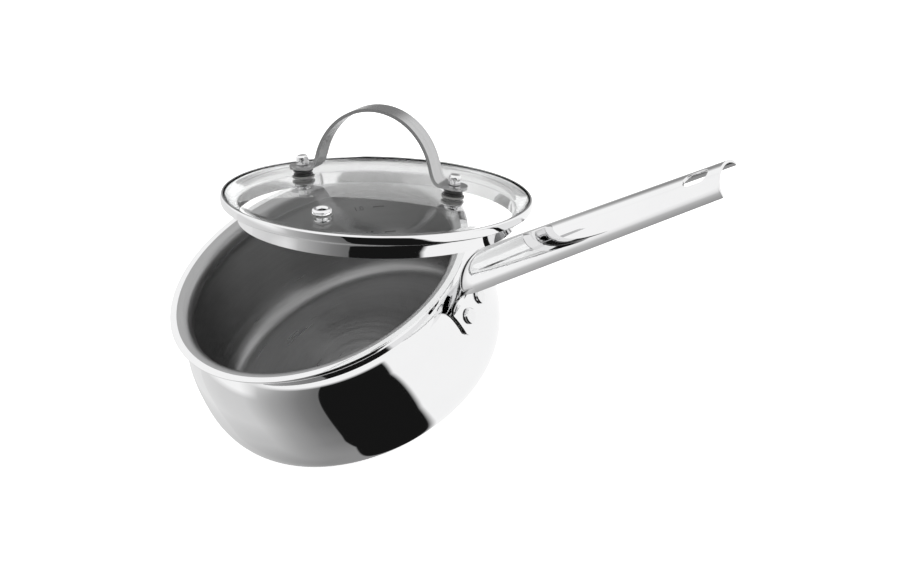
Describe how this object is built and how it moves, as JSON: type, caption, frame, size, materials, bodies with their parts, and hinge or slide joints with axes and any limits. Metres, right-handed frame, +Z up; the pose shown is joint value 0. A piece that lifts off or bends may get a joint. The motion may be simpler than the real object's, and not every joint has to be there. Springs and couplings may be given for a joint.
{
  "type": "saucepan with glass lid",
  "caption": "Polished steel saucepan with a bellied body, flared rim and long channel handle, and a steel-banded glass lid with a strap handle held ajar over it.",
  "frame": {"origin": "centre of the base's underside", "axes": "+Z up out of the pan's mouth, +X along the pan's handle"},
  "size_m": [0.3461, 0.179, 0.1818],
  "materials": {
    "polished_steel": "mirror-polished stainless steel",
    "satin_steel": "satin stainless steel",
    "aluminium": "plain aluminium disc",
    "glass": "clear tempered glass",
    "silicone": "matt pale silicone",
    "dark_spacer": "dark heat-resistant plastic"
  },
  "bodies": {
    "pan": {"pan_body": "polished_steel", "base_core": "aluminium", "base_cap": "satin_steel", "handle": "polished_steel", "rivet_left": "satin_steel", "rivet_right": "satin_steel"},
    "lid": {"lid_band": "polished_steel", "vent_eyelet": "polished_steel", "cap_nut_inner": "polished_steel", "cap_nut_outer": "polished_steel", "lid_strap": "satin_steel", "washer_inner": "satin_steel", "washer_outer": "satin_steel", "screw_inner": "satin_steel", "screw_outer": "satin_steel", "lid_glass": "glass", "seal_washer_upper_inner": "silicone", "seal_washer_upper_outer": "silicone", "seal_washer_lower_inner": "silicone", "seal_washer_lower_outer": "silicone", "vent_seal": "silicone", "spacer_inner": "dark_spacer", "spacer_outer": "dark_spacer"}
  },
  "joints": [
    {"name": "lid_lift", "type": "slide", "parent": "pan", "child": "lid", "axis": [0, 0, 1], "range_m": [0, 0.12]}
  ]
}
